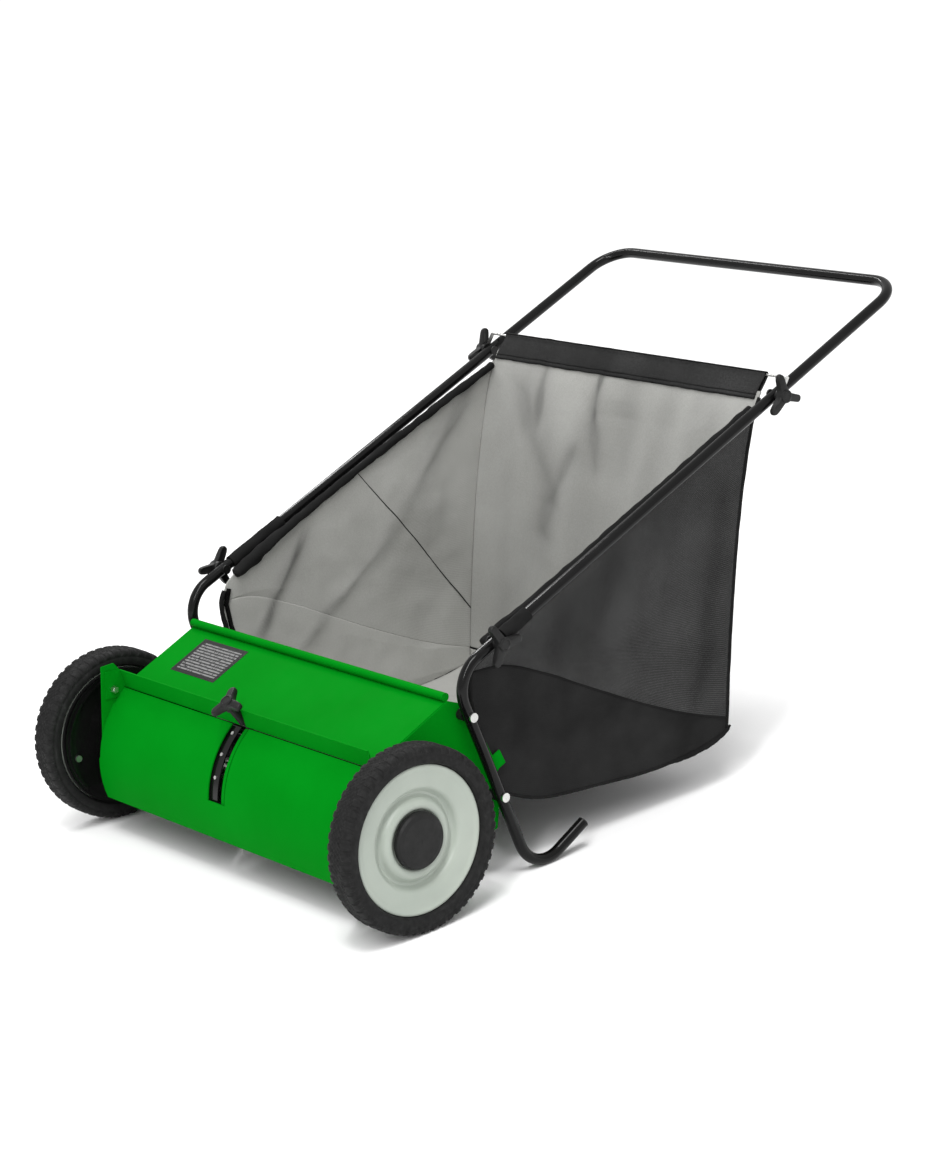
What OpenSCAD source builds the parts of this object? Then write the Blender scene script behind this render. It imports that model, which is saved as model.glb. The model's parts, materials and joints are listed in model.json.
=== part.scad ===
// Push lawn sweeper: a sheet-metal brush housing on two geared wheels, a bent tube
// handle and an open mesh bag. X is across the machine, the front faces -Y, +Z is up.
// The origin is on the ground, under the middle of the machine's bounding box.
// Most parts are drawn in the machine's own frame, with the wheel axle over y = 0 and
// the leg feet clear of the ground, and lean() then tips them back onto the feet.

/* [Wheels] */
// Outer radius of a tyre
wheel_r = 127; // [120:1:132]
// Width of a tyre
tyre_w = 44; // [40:1:50]
// Distance from the middle of the machine to the middle of a wheel
wheel_x = 352; // [350:1:365]
// Radius of the rim where it meets the tyre
rim_r = 102; // [100:1:104]

/* [Gears] */
// Tooth module of the ring gear and the pinion
gear_module = 2; // [2:0.5:2]
// Teeth on the ring gear in each wheel
ring_teeth = 92; // [92:1:92]
// Teeth on the brush pinion
pinion_teeth = 14; // [12:1:16]
// How far the brush shaft lies below the level of the wheel axle, as an angle
brush_drop = 14; // [8:1:20]

/* [Housing] */
// Distance from the middle to the outside of a side plate
plate_x = 294; // [280:1:296]
// Thickness of the sheet metal
sheet = 2; // [1.5:0.5:3]
// Radius of the front cover, about the brush shaft
cover_r = 139.3; // [136:0.1:142]
// Angle of the lower edge of the front cover, below the brush shaft
cover_low = -25; // [-30:1:-15]
// Angle of the upper edge of the front cover
cover_high = 46.5; // [46:0.5:48]
// Width of the height slot in the front cover
slot_w = 40; // [34:1:44]
// Slope of the top plate
top_slope = 29.5; // [27:0.5:31]
// Length of the top plate along its slope
top_len = 143; // [135:1:146]

/* [Brush] */
// Radius over the bristle tips
brush_r = 82; // [74:1:84]
// Length of the brush
brush_len = 560; // [500:5:564]
// Number of bristle strips
strips = 4; // [3:1:6]

/* [Handle] */
// Outer diameter of the handle tubes
tube_d = 16; // [14:0.5:18]
// Distance from the middle to the centreline of a side tube
tube_x = 312; // [310:1:314]
// Slope of the handle
handle_angle = 28.6; // [24:0.2:32]
// Distance between the lower and the upper knobs
mid_len = 590; // [520:5:640]
// Distance from the upper knobs to the corner of the grip
upper_len = 292; // [240:2:340]
// Bend radius of the grip corners
grip_bend = 52; // [40:1:70]
// Slope of the legs, below the horizontal
leg_angle = 65; // [60:1:70]
// Straight length of a leg
leg_len = 233; // [225:1:236]
// Bend radius at a foot
foot_bend = 46; // [36:1:50]
// Angle of the toe above the horizontal
toe_angle = 34; // [20:1:45]
// Length of the toe
toe_len = 54; // [40:1:70]

/* [Knobs] */
// Radius over the arms of a knob
knob_r = 33; // [24:1:36]
// Radius over the arms of the front knob
front_knob_r = 28; // [22:1:30]
// Thickness of a knob
knob_h = 17; // [14:1:20]

/* [Bag] */
// Distance from the middle to the outside of the bag's side panels
bag_x = 290.5; // [280:0.5:291]
// Thickness of a bag panel in this model
panel = 3; // [2:0.5:4]

/* [Hidden] */
$fn = 64;
eps = 0.01;
LEFT = -1;
RIGHT = 1;

// Colours
green = [0.02, 0.55, 0.12];
black_tube = [0.05, 0.05, 0.06];
black_plastic = [0.08, 0.08, 0.09];
mesh_grey = [0.45, 0.46, 0.44];
boot_black = [0.13, 0.13, 0.13];
rim_grey = [0.72, 0.76, 0.72];
tyre_black = [0.14, 0.14, 0.14];
zinc = [0.75, 0.76, 0.78];
bristle_black = [0.1, 0.1, 0.1];

// Machine frame: points in a side view are [y, z]
tube_r = tube_d / 2;
tube_bore_r = tube_r - 1.2;
bend_thin = 0.05;
axle = [0, wheel_r];
ring_pitch_r = gear_module * ring_teeth / 2;
pinion_pitch_r = gear_module * pinion_teeth / 2;
gear_centres = ring_pitch_r - pinion_pitch_r;
brush = axle + gear_centres * [cos(brush_drop), -sin(brush_drop)];
function polar(r, a) = [brush[0] - r * cos(a), brush[1] + r * sin(a)];

// Handle line, from the lower knob bolt to the grip
handle_dir = [cos(handle_angle), sin(handle_angle)];
handle_up = [-sin(handle_angle), cos(handle_angle)];
lower_knob = [172, 355.6];
upper_knob = lower_knob + mid_len * handle_dir;
grip = upper_knob + upper_len * handle_dir;
seam_back = 18;
neck_len = 50;
neck_r = tube_bore_r - 0.05;
neck_bore_r = neck_r - 1.2;

// Leg path, from the lower knob down to the toe
bend_r = 48;
bend_start = 35;
leg_dir = [cos(leg_angle), -sin(leg_angle)];
leg_normal = [sin(leg_angle), cos(leg_angle)];
bend_top = lower_knob - bend_start * handle_dir;
bend_c = bend_top - bend_r * handle_up;
leg_top = bend_c - bend_r * leg_normal;
leg_end = leg_top + leg_len * leg_dir;
foot_c = leg_end + foot_bend * leg_normal;
toe_dir = [cos(toe_angle), sin(toe_angle)];
toe_start = foot_c + foot_bend * [sin(toe_angle), -cos(toe_angle)];
toe_end = toe_start + toe_len * toe_dir;

// The lean that brings the underside of the feet down to the ground
foot_rel = foot_c - axle;
lean_angle = asin((wheel_r - foot_bend - tube_r) / norm(foot_rel)) - atan2(-foot_rel[1], foot_rel[0]);

// Middle of the bounding box, front to back, after the lean
grip_rel = grip - axle;
back_y = grip_rel[0] * cos(lean_angle) + grip_rel[1] * sin(lean_angle) + tube_r;
mid_y = (back_y - wheel_r) / 2;

// Housing outline
valley = polar(cover_r, 47.8);
ridge_top = [valley[0] - 9, valley[1] + 25];
top_dir = [cos(top_slope), sin(top_slope)];
top_rear = valley + top_len * top_dir;
bead_r = 6;
ear_y = -58;
ear_top = 246;
leg_bolt_near = leg_top + 17 * leg_dir;
leg_bolt_far = leg_top + 149 * leg_dir;
bolt_r = 4;
bolt_clear = 0.05;

// Height adjuster
stud_angle = 49.5;
stud_x = 2;
crossbar_at = 112;
crossbar_r = 7;
crossbar_slot = 9;
knob_base_r = 171;
strap_x = [-24, -4];
strap_r = 135;
guide_x = [8, 19.5];
index_angles = [41.5, 27.5, 13.5];

// Distances from the middle of the machine
arm_x = [300, 304];
cover_disc_x = [324, 327];
bush_x = [286, 304.5];
bush_r = 14;
shaft_r = 6;
run = 0.05;
stub_r = 8;
stub_end = 368;
rod_r = 2;
eye_x = [320.5, 324.5];

// Bag outline in the side view
hem_drop = 9;
hem_r = 5;
function on_hem(s) = lower_knob + s * handle_dir - hem_drop * handle_up;
bag_front = [[208, 140], [196, 180], [178, 226], [160, 272], [152, 305], [157, 328]];
bag_rear = [[668, 596], [655, 530], [643, 440], [636, 350], [631, 250], [629, 158]];
bag_under = [[616, 146], [560, 131], [480, 120], [383, 117], [275, 118]];
rod_at = [703, 662];

// Tips the machine frame back onto its feet and centres it on the origin
module lean() {
    translate([0, -mid_y, wheel_r])
        rotate([-lean_angle, 0, 0])
            translate([0, 0, -wheel_r])
                children();
}

// Extrudes a side-view outline from x0 to x1 on one side of the machine
module plate(side, x0, x1) {
    rotate([90, 0, 90])
        translate([0, 0, side > 0 ? x0 : -x1])
            linear_extrude(x1 - x0)
                children();
}

// Extrudes a side-view outline right across the machine
module across(half) {
    plate(RIGHT, -half, half) children();
}

// A round bar along X at side-view point p
module bar_x(side, x0, x1, p, r) {
    translate([side > 0 ? x0 : -x1, p[0], p[1]])
        rotate([0, 90, 0])
            cylinder(h = x1 - x0, r = r);
}

// A round bar between two side-view points at distance x
module bar_yz(x, a, b, r) {
    d = b - a;
    translate([x, a[0], a[1]])
        rotate([atan2(d[1], d[0]) - 90, 0, 0])
            cylinder(h = norm(d), r = r);
}

// A flat strip between two side-view points, with round ends
module strip2d(a, b, w) {
    d = b - a;
    translate(a)
        rotate(atan2(d[1], d[0]))
            translate([0, -w / 2])
                square([norm(d), w]);
    translate(a) circle(r = w / 2);
    translate(b) circle(r = w / 2);
}

// A band of even thickness along side-view points, with mitred corners
function along(a, b) = (b - a) / norm(b - a);
function mitre(points, i) = let(
    last = len(points) - 1,
    before = along(points[max(i - 1, 0)], points[max(i, 1)]),
    after = along(points[min(i, last - 1)], points[min(i + 1, last)]),
    mean = (before + after) / norm(before + after),
    out = [-mean[1], mean[0]])
    out / (out * [-before[1], before[0]]);

module band2d(points, w) {
    last = len(points) - 1;
    polygon(concat(
        [for (i = [0 : last]) points[i] + w / 2 * mitre(points, i)],
        [for (i = [last : -1 : 0]) points[i] - w / 2 * mitre(points, i)]));
}

// A sector of a ring about the brush shaft, from angle a0 up to a1
module sector2d(r0, r1, a0, a1) {
    far = 2 * r1;
    intersection() {
        translate(brush)
            difference() {
                circle(r = r1, $fn = 180);
                circle(r = r0, $fn = 180);
            }
        polygon([brush, polar(far, a0), polar(far, (a0 + a1) / 2), polar(far, a1)]);
    }
}

// An arc of round bar in a side view: centre c, bend radius r, from angle a0 to a1.
// It is a hair thinner than the straights and runs one degree into each of them.
module bend_yz(x, c, r, a0, a1, bar_r) {
    translate([x, c[0], c[1]])
        rotate([90, 0, 90])
            rotate([0, 0, a0 - 1])
                rotate_extrude(angle = a1 - a0 + 2, $fn = 96)
                    translate([r, 0])
                        circle(r = bar_r - bend_thin, $fn = 48);
}

module top_cover() {
    tab = [[ear_y + 6, 196], [-30, 196], [-19, 212], ridge_top, [ear_y + 6, ridge_top[1]]];
    notch_w = 2 * bolt_r + 6;
    color(green) lean() {
        difference() {
            across(plate_x - sheet) {
                band2d([ridge_top, valley, top_rear], sheet);
                translate(top_rear + bead_r * [-top_dir[1], top_dir[0]]) circle(r = bead_r);
            }
            translate([stud_x - notch_w / 2, ear_y, valley[1] - 8])
                cube([notch_w, -ear_y - 8, 60]);
        }
        plate(LEFT, plate_x - 2 * sheet, plate_x - sheet)
            difference() {
                polygon(tab);
                translate([-39, 209]) circle(r = bolt_r - 1);
                translate(brush) circle(r = cover_r + 0.4);
            }
    }
}

module front_cover() {
    color(green) lean()
        difference() {
            across(plate_x - sheet - 0.3) sector2d(cover_r - sheet, cover_r, cover_low, cover_high);
            translate([-slot_w / 2 - 1, 0, 0])
                rotate([90, 0, 90])
                    linear_extrude(slot_w)
                        sector2d(cover_r - 8, cover_r + 8, -0.5, 50);
        }
}

// Green guide strip behind the right half of the slot
module slot_guide() {
    color(green) lean()
        plate(RIGHT, guide_x[0], guide_x[1]) sector2d(strap_r - sheet, strap_r, -7, 47);
}

// Black strap behind the left half of the slot, with the index rivets in it
module index_strap() {
    color(black_tube) lean()
        difference() {
            plate(RIGHT, strap_x[0], strap_x[1]) sector2d(strap_r - sheet, strap_r, -7, 47);
            for (a = index_angles) rivet_shank(a);
        }
}

module rivet_shank(a) {
    p = polar(strap_r - sheet - 1, a);
    translate([-13, p[0], p[1]])
        rotate([90 - a, 0, 0])
            cylinder(h = sheet + 2, r = 1.5, $fn = 24);
}

module index_rivets() {
    color(zinc) lean()
        for (a = index_angles) {
            p = polar(strap_r, a);
            rivet_shank(a);
            translate([-13, p[0], p[1]])
                rotate([90 - a, 0, 0])
                    cylinder(h = 1.2, r = 2.6, $fn = 24);
        }
}

function cover_arc(a0, a1, step) = [for (a = [a0 : step : a1]) polar(cover_r, a)];
rear_edge_dir = [0.48, -0.877];
rear_edge_out = [0.877, 0.48];
tab_at = [184, 193];

module side_plate(side) {
    tab_corner = tab_at + 14 * rear_edge_out;
    ear = side > 0 ? [] : [[ear_y, ear_top - 2], [-37, ear_top + 1]];
    outline = concat(
        ear, [ridge_top, valley, top_rear, [138, 272], [155, 246]],
        [tab_at, tab_corner, tab_corner + 22 * rear_edge_dir, tab_at + 22 * rear_edge_dir],
        [[188, 160], [197, 135], [193, 91], [150, 76], [40, 60]],
        side > 0 ? cover_arc(cover_low, 45, 5) : concat(cover_arc(cover_low, 0, 5), [[ear_y, 122]]));
    color(green) lean()
        plate(side, plate_x - sheet, plate_x)
            difference() {
                polygon(outline);
                translate(brush) circle(r = bush_r);
                sector2d(crossbar_at - crossbar_slot, crossbar_at + crossbar_slot, -4, 54);
                translate(leg_bolt_near) circle(r = bolt_r);
                translate(leg_bolt_far) circle(r = bolt_r);
                if (side < 0) translate([-39, 209]) circle(r = bolt_r - 1);
            }
}

module rear_tie_rod() {
    color(black_tube) lean()
        bar_x(RIGHT, sheet - plate_x, plate_x - sheet, [182, 100], 4);
}

module ear_bolts() {
    p = [-39, 209];
    color(zinc) lean()
        for (side = [LEFT]) {
            bar_x(side, plate_x - 10, plate_x, p, bolt_r - 1);
            bar_x(side, plate_x, plate_x + 2.4, p, 6);
            translate([side * (plate_x - 6.5), p[0], p[1]])
                rotate([0, 90, 0])
                    cylinder(h = 5, r = 6, center = true, $fn = 6);
        }
}

// Flanged bush in a side plate: the axle arm swings on it and the brush shaft turns in it
module pivot_bush(side) {
    color(rim_grey) lean()
        difference() {
            union() {
                bar_x(side, bush_x[0], bush_x[1], brush, bush_r);
                bar_x(side, bush_x[0], plate_x - sheet, brush, bush_r + 5);
            }
            bar_x(side, bush_x[0] - 1, bush_x[1] + 1, brush, shaft_r + run);
        }
}

// The leg is one bent bar from the joint above the lower knob down to the toe
module leg_tube(side) {
    x = side * tube_x;
    seam = lower_knob - seam_back * handle_dir;
    color(black_tube) lean()
        difference() {
            union() {
                bar_yz(x, bend_top, seam, tube_r);
                bend_yz(x, bend_c, bend_r, 90 + handle_angle, 270 - leg_angle, tube_r);
                bar_yz(x, leg_top, leg_end, tube_r);
                bend_yz(x, foot_c, foot_bend, 270 - leg_angle, 270 + toe_angle, tube_r);
                bar_yz(x, toe_start, toe_end, tube_r);
                bar_yz(x, seam - 5 * handle_dir, seam + neck_len * handle_dir, neck_r);
            }
            bar_yz(x, bend_top, seam + (neck_len + 1) * handle_dir, neck_bore_r);
            bend_yz(x, bend_c, bend_r, 90 + handle_angle, 270 - leg_angle, neck_bore_r + 0.1);
            bar_yz(x, leg_top, leg_end, neck_bore_r);
            bend_yz(x, foot_c, foot_bend, 270 - leg_angle, 270 + toe_angle, neck_bore_r + 0.1);
            bar_yz(x, toe_start, toe_end + toe_dir, neck_bore_r);
            for (p = [leg_bolt_near, leg_bolt_far, lower_knob])
                bar_x(side, tube_x - 20, tube_x + 20, p, bolt_r);
        }
}

module foot_plugs() {
    color(black_plastic) lean()
        for (side = [LEFT, RIGHT]) {
            bar_yz(side * tube_x, toe_end - 12 * toe_dir, toe_end, neck_bore_r);
            bar_yz(side * tube_x, toe_end, toe_end + 2 * toe_dir, tube_r);
        }
}

module tube_spacers() {
    color(black_plastic) lean()
        for (side = [LEFT, RIGHT], p = [leg_bolt_near, leg_bolt_far])
            difference() {
                bar_x(side, plate_x, tube_x - tube_r + 0.6, p, 8);
                bar_x(side, plate_x - 1, tube_x, p, bolt_r);
                bar_yz(side * tube_x, leg_top, leg_end, tube_r);
            }
}

module frame_bolts() {
    outer = tube_x + tube_r;
    color(zinc) lean()
        for (side = [LEFT, RIGHT], p = [leg_bolt_near, leg_bolt_far]) {
            bar_x(side, plate_x - 10, outer, p, bolt_r);
            bar_x(side, outer, outer + 3, p, 6.5);
            translate([side * (plate_x - sheet - 2.5), p[0], p[1]])
                rotate([0, 90, 0])
                    cylinder(h = 5, r = 7, center = true, $fn = 6);
        }
}

module mid_tube(side) {
    x = side * tube_x;
    start = lower_knob - seam_back * handle_dir;
    seam = upper_knob - seam_back * handle_dir;
    color(black_tube) lean()
        difference() {
            union() {
                bar_yz(x, start, seam, tube_r);
                bar_yz(x, seam, seam + neck_len * handle_dir, neck_r);
            }
            bar_yz(x, start - handle_dir, seam - 6 * handle_dir, tube_bore_r);
            bar_yz(x, seam - 8 * handle_dir, seam + (neck_len + 1) * handle_dir, neck_bore_r);
            for (p = [lower_knob, upper_knob])
                bar_x(side, tube_x - 20, tube_x + 20, p, bolt_r);
        }
}

// The upper handle's path as one solid bar of radius r; over lengthens its open ends
module handle_bar(r, over, step) {
    start = upper_knob - (seam_back + over) * handle_dir;
    turn = grip - grip_bend * handle_dir;
    for (side = [LEFT, RIGHT]) {
        bar_yz(side * tube_x, start, turn, r);
        translate([side * (tube_x - grip_bend), turn[0], turn[1]])
            rotate([handle_angle, 0, 0])
                rotate([0, 0, side > 0 ? -1 : 89])
                    rotate_extrude(angle = 92, $fn = 96)
                        translate([grip_bend, 0])
                            circle(r = r - bend_thin * step, $fn = 48);
    }
    bar_x(RIGHT, grip_bend - tube_x, tube_x - grip_bend, grip, r);
}

module upper_handle() {
    color(black_tube) lean()
        difference() {
            handle_bar(tube_r, 0, 1);
            handle_bar(tube_bore_r, 1, -1);
            for (side = [LEFT, RIGHT])
                bar_x(side, tube_x - 20, tube_x + 20, upper_knob, bolt_r);
        }
}

// Bolts through the handle joints: the knobs screw onto their outer ends
module handle_bolts() {
    inner = tube_x - tube_r;
    color(zinc) lean()
        for (side = [LEFT, RIGHT], p = [lower_knob, upper_knob]) {
            extra = p == upper_knob ? eye_x[1] - tube_x - tube_r : 0;
            bar_x(side, inner - 2.5, tube_x + tube_r + extra + 12, p, bolt_r);
            bar_x(side, inner - 2.5, inner, p, 7);
        }
}

// Thin rod that the bag hangs from, with an eye round each upper bolt
module hopper_rod() {
    color(zinc) lean() {
        bar_x(RIGHT, -eye_x[1], eye_x[1], rod_at, rod_r);
        for (side = [LEFT, RIGHT])
            plate(side, eye_x[0], eye_x[1])
                difference() {
                    union() {
                        strip2d(rod_at, upper_knob, 2 * rod_r);
                        translate(upper_knob) circle(r = bolt_r + 4);
                    }
                    translate(upper_knob) circle(r = bolt_r);
                }
    }
}

function bag_outline() = concat(bag_front, [on_hem(6), on_hem(mid_len - 28)], bag_rear, bag_under);

module bag_side(side) {
    color(mesh_grey) lean()
        plate(side, bag_x - panel, bag_x) polygon(bag_outline());
}

module bag_back() {
    color(mesh_grey) lean()
        across(bag_x - panel) band2d(concat([[694, 650], [682, 632]], bag_rear), panel);
}

module bag_floor() {
    color(boot_black) lean()
        across(bag_x - panel) band2d(concat([[626, 154.5]], bag_under, [bag_front[0]]), panel);
}

module bag_side_hems() {
    color(boot_black) lean()
        for (side = [LEFT, RIGHT])
            bar_yz(side * (bag_x - panel - hem_r), on_hem(20), on_hem(mid_len - 28), hem_r);
}

// Top hem: a fabric band hanging from the rod
module bag_top_hem() {
    color(boot_black) lean()
        across(283)
            difference() {
                union() {
                    translate(rod_at) circle(r = rod_r + 2.3);
                    strip2d(rod_at - [1.5, 2.5], [696.5, 653], 3.5);
                }
                translate(rod_at) circle(r = rod_r);
            }
}

// Fabric flap wrapped round the handle tube above the lower knob
module bag_flap(side) {
    from = side > 0 ? 14 : 16;
    to = side > 0 ? 64 : 122;
    a = lower_knob + from * handle_dir;
    b = lower_knob + to * handle_dir;
    color(boot_black) lean()
        difference() {
            union() {
                bar_yz(side * tube_x, a, b, tube_r + 2.5);
                translate([side > 0 ? bag_x : -tube_x, a[0], a[1]])
                    rotate([handle_angle, 0, 0])
                        translate([0, 0, -10.5])
                            cube([tube_x - bag_x, to - from, 3]);
            }
            bar_yz(side * tube_x, a - handle_dir, b + handle_dir, tube_r + 0.2);
        }
}

// Frame of flat strip in the front binding of the bag, hooked behind the plate tabs
module bag_front_frame() {
    x = bag_x - panel;
    shift = [6, 3];
    color(black_tube) lean() {
        for (side = [LEFT, RIGHT])
            plate(side, x - 5, x)
                translate(shift) band2d(bag_front, 5);
        across(x) translate(bag_front[0] + shift) circle(r = 2.2);
    }
}

// Arm that carries a wheel: it swings round the brush shaft with the crossbar
module axle_arm(side) {
    bar_at = polar(crossbar_at, stud_angle);
    color(black_tube) lean()
        plate(side, arm_x[0], arm_x[1])
            difference() {
                union() {
                    translate(brush) circle(r = 24);
                    strip2d(brush, axle, 34);
                    strip2d(brush, bar_at, 22);
                    strip2d(axle, bar_at, 22);
                }
                translate(brush) circle(r = bush_r + run);
                translate(axle) circle(r = stub_r);
            }
}

module stub_axles() {
    color(zinc) lean()
        for (side = [LEFT, RIGHT])
            bar_x(side, arm_x[0], stub_end, axle, stub_r);
}

module axle_spacers() {
    color(black_plastic) lean()
        for (side = [LEFT, RIGHT])
            tube_x_ring(side, arm_x[1], cover_disc_x[0], 15);
}

// A ring round the stub axle from x0 to x1
module tube_x_ring(side, x0, x1, r) {
    difference() {
        bar_x(side, x0, x1, axle, r);
        bar_x(side, x0 - 1, x1 + 1, axle, stub_r);
    }
}

module axle_clips() {
    color(zinc) lean()
        for (side = [LEFT, RIGHT]) {
            tube_x_ring(side, wheel_x + 10.2, wheel_x + 12.2, 14);
            difference() {
                translate([side * (wheel_x + 14.2), axle[0], axle[1]])
                    rotate([0, 90, 0])
                        cylinder(h = 4, r = 13, center = true, $fn = 6);
                bar_x(side, wheel_x + 10, wheel_x + 18, axle, stub_r);
            }
        }
}

cover_disc_r = 100;
screw_angles = [195, 75, 315];
function screw_at(a) = axle + 83 * [cos(a), sin(a)];

// Black steel disc that closes the inner side of a wheel over its gear
module gear_cover(side) {
    color(black_tube) lean()
        difference() {
            union() {
                bar_x(side, cover_disc_x[0], cover_disc_x[1], axle, cover_disc_r);
                bar_x(side, cover_disc_x[0] - 4, cover_disc_x[1], axle, cover_disc_r - 4);
            }
            bar_x(side, cover_disc_x[0] - 5, cover_disc_x[0], axle, cover_disc_r - 7);
            bar_x(side, cover_disc_x[0] - 6, cover_disc_x[1] + 1, axle, stub_r);
            bar_x(side, cover_disc_x[0] - 6, cover_disc_x[1] + 1, brush, shaft_r + 1.5);
            for (a = screw_angles)
                bar_x(side, cover_disc_x[0] - 6, cover_disc_x[1] + 1, screw_at(a), 2.5);
        }
}

module gear_cover_screws() {
    color(zinc) lean()
        for (side = [LEFT, RIGHT], a = screw_angles) {
            bar_x(side, cover_disc_x[0], cover_disc_x[1] + 4, screw_at(a), 2.5);
            bar_x(side, cover_disc_x[0] - 2.5, cover_disc_x[0], screw_at(a), 5);
        }
}

// Moulded plate behind the gear cover: it carries the outer bearing of the brush shaft
module bearing_plate(side) {
    color(black_plastic) lean()
        difference() {
            bar_x(side, cover_disc_x[1], cover_disc_x[1] + 4.6, axle, 88);
            bar_x(side, cover_disc_x[1] - 1, cover_disc_x[1] + 6, axle, stub_r);
            bar_x(side, cover_disc_x[1] - 1, cover_disc_x[1] + 6, brush, shaft_r + run);
            for (a = screw_angles)
                bar_x(side, cover_disc_x[1] - 1, cover_disc_x[1] + 6, screw_at(a), 2.5);
        }
}

module height_crossbar() {
    bar_at = polar(crossbar_at, stud_angle);
    color(black_tube) lean()
        difference() {
            bar_x(RIGHT, -arm_x[0], arm_x[0], bar_at, crossbar_r);
            radial_bar(crossbar_at - 20, crossbar_at + 20, bolt_r);
        }
}

// A round bar pointing out from the brush shaft at the stud's angle
module radial_bar(r0, r1, r) {
    p = polar(r0, stud_angle);
    translate([stud_x, p[0], p[1]])
        rotate([90 - stud_angle, 0, 0])
            cylinder(h = r1 - r0, r = r);
}

module height_stud() {
    color(zinc) lean() {
        radial_bar(crossbar_at - crossbar_r - 3, knob_base_r + 12, bolt_r);
        radial_bar(crossbar_at - crossbar_r - 3, crossbar_at - crossbar_r, 7);
    }
}

// Turns a profile of [radius, x] points round the axle; x runs outward from the wheel's middle
module wheel_turn(side) {
    translate([side * wheel_x, axle[0], axle[1]])
        rotate([0, 90 * side, 0])
            rotate_extrude($fn = 128)
                children();
}

module tyre(side) {
    h = tyre_w / 2;
    color(tyre_black) lean()
        wheel_turn(side)
            polygon([[rim_r - 1, -h + 5], [rim_r + 3, -h + 1.5], [112, -h], [119, -h + 0.7],
                [124, -h + 4], [wheel_r - 0.6, -h + 10], [wheel_r, -h + 16], [wheel_r, h - 16],
                [wheel_r - 0.6, h - 10], [124, h - 4], [119, h - 0.7], [112, h],
                [rim_r + 3, h - 3], [rim_r, h - 8], [rim_r - 1, h - 9]]);
}

module wheel_rim(side) {
    color(rim_grey) lean()
        wheel_turn(side)
            polygon([[stub_r + run, -20], [16, -20], [16, 3], [40, 5], [53, 3.5], [57, 0.6],
                [64, 0.6], [69, 4], [92, 8], [97, 8], [97, -18], [rim_r - 1, -18],
                [rim_r - 1, 13], [rim_r, 14], [rim_r - 4, 14], [72, 10.2], [66, 8.6], [62.5, 5],
                [58, 4.8], [54, 8], [45, 9.6], [39.2, 10], [stub_r + run, 10]]);
}

module hub_cap(side) {
    color(black_plastic) lean()
        wheel_turn(side)
            polygon([[36, 10], [39, 10], [38.6, 15.5], [36, 18.5], [30, 20], [0, 20.4],
                [0, 18], [30, 17.6], [36, 14]]);
}

// Involute of a base circle of radius rb, where it reaches radius r: its polar angle
function involute_angle(rb, r) = tan(acos(rb / r)) * 180 / PI - acos(rb / r);

// One tooth of half-angle half at the pitch circle, as [radius, angle] points up both flanks
function tooth(pitch, tip, root, half, steps) = let(
    rb = pitch * cos(20),
    low = max(root, rb),
    rise = involute_angle(rb, pitch),
    flank = [for (i = [0 : steps]) let(r = low + (tip - low) * i / steps)
        [r, half + rise - involute_angle(rb, r)]])
    concat([[root, -flank[0][1]]], [for (f = flank) [f[0], -f[1]]],
        [for (i = [steps : -1 : 0]) flank[i]], [[root, flank[0][1]]]);

function gear_points(teeth, one, start) = [for (k = [0 : teeth - 1], p = one)
    p[0] * [cos(start + k * 360 / teeth + p[1]), sin(start + k * 360 / teeth + p[1])]];

backlash = 0.25;
ring_half = 90 / ring_teeth + backlash / ring_pitch_r * 57.3;
pinion_half = 90 / pinion_teeth - backlash / pinion_pitch_r * 57.3;

// Ring gear in the wheel: its tooth spaces have the shape of the teeth of an outer gear
module ring_gear(side) {
    space = tooth(ring_pitch_r, ring_pitch_r + 2.4, ring_pitch_r - 1.8, ring_half, 3);
    color(black_plastic) lean()
        plate(side, wheel_x - 16, wheel_x)
            translate(axle)
                difference() {
                    circle(r = 97, $fn = 128);
                    polygon(gear_points(ring_teeth, space, -brush_drop));
                }
}

module pinion(side) {
    one = tooth(pinion_pitch_r, pinion_pitch_r + 1.7, pinion_pitch_r - 2.3, pinion_half, 3);
    color(zinc) lean()
        plate(side, wheel_x - 15, wheel_x - 1)
            translate(brush)
                difference() {
                    polygon(gear_points(pinion_teeth, one, -brush_drop));
                    circle(r = shaft_r + (side > 0 ? run : 0));
                }
}

module brush_shaft() {
    color(zinc) lean()
        bar_x(RIGHT, -wheel_x + 1, wheel_x - 1, brush, shaft_r);
}

// Steel core: a sleeve on the shaft with a channel for each bristle strip
module brush_core() {
    half = brush_len / 2;
    color(zinc) lean()
        translate([-half, brush[0], brush[1]])
            rotate([90, 0, 90])
                linear_extrude(brush_len)
                    difference() {
                        union() {
                            circle(r = 15);
                            for (k = [0 : strips - 1])
                                rotate(45 + k * 360 / strips)
                                    translate([0, -7])
                                        square([30, 14]);
                        }
                        circle(r = shaft_r);
                        for (k = [0 : strips - 1])
                            rotate(45 + k * 360 / strips)
                                translate([18, -5])
                                    square([20, 10]);
                    }
}

module bristle_strips() {
    color(bristle_black) lean()
        translate([-brush_len / 2, brush[0], brush[1]])
            rotate([90, 0, 90])
                linear_extrude(brush_len)
                    for (k = [0 : strips - 1])
                        rotate(45 + k * 360 / strips)
                            translate([18, -5])
                                square([brush_r - 18, 10]);
}

// Three-armed knob along +Z, with its base at the origin and a blind bore for the bolt
module knob(r) {
    color(black_plastic)
        difference() {
            union() {
                cylinder(h = knob_h, r = 10.5);
                for (a = [90, 210, 330])
                    rotate(a)
                        translate([0, 0, 5])
                            linear_extrude(knob_h - 6)
                                knob_arm2d(r);
            }
            translate([0, 0, -1]) cylinder(h = 14, r = bolt_r + bolt_clear);
        }
}

// One arm of a knob along +X, narrower toward its round tip
module knob_arm2d(r) {
    tip = r - 5;
    polygon([[0, -7.5], [tip, -5], [tip, 5], [0, 7.5]]);
    translate([tip, 0]) circle(r = 5);
}

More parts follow.
